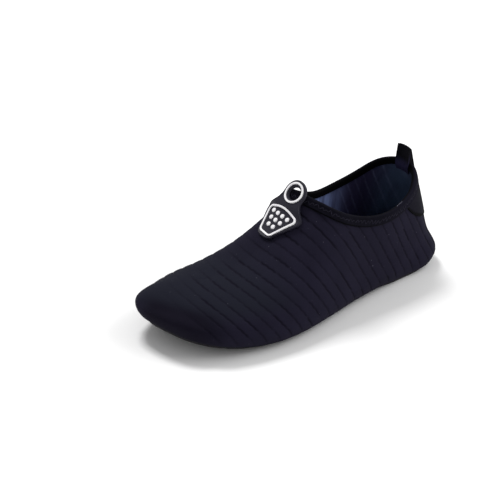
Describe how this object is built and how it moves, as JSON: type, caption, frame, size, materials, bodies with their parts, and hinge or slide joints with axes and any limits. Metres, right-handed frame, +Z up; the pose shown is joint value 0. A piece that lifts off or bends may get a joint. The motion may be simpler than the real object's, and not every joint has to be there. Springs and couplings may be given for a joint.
{
  "type": "water shoe",
  "caption": "Low slip-on water shoe for the left foot: hollow stretch-knit upper, bound collar, heel pull tape, rubber throat patch with a pull ring, and a thin grooved rubber sole.",
  "frame": {"origin": "on the floor, under the middle of the shoe's box", "axes": "+Z up, +Y from the toe to the heel, +X towards the outer (lateral) side of this left shoe"},
  "size_m": [0.098, 0.252, 0.0907],
  "materials": {
    "stretch_knit": "matt dark navy stretch knit with pressed cross ribs",
    "heel_cloth": "smooth matt dark grey stretch cloth",
    "binding_tape": "matt black elastic tape",
    "footbed_cloth": "matt blue-grey footbed cloth",
    "sole_rubber": "matt black moulded rubber",
    "patch_rubber": "satin dark grey moulded rubber",
    "white_rubber": "satin white moulded rubber"
  },
  "bodies": {
    "root": {"outsole": "sole_rubber", "insole": "footbed_cloth", "upper": "stretch_knit", "collar_binding": "binding_tape", "heel_patch": "heel_cloth", "pull_tape": "binding_tape", "throat_patch": "patch_rubber", "patch_border": "white_rubber", "patch_ring": "white_rubber", "grip_pip_1": "white_rubber", "grip_pip_2": "white_rubber", "grip_pip_3": "white_rubber", "grip_pip_4": "white_rubber", "grip_pip_5": "white_rubber", "grip_pip_6": "white_rubber", "grip_pip_7": "white_rubber", "grip_pip_8": "white_rubber", "grip_pip_9": "white_rubber"}
  },
  "joints": []
}
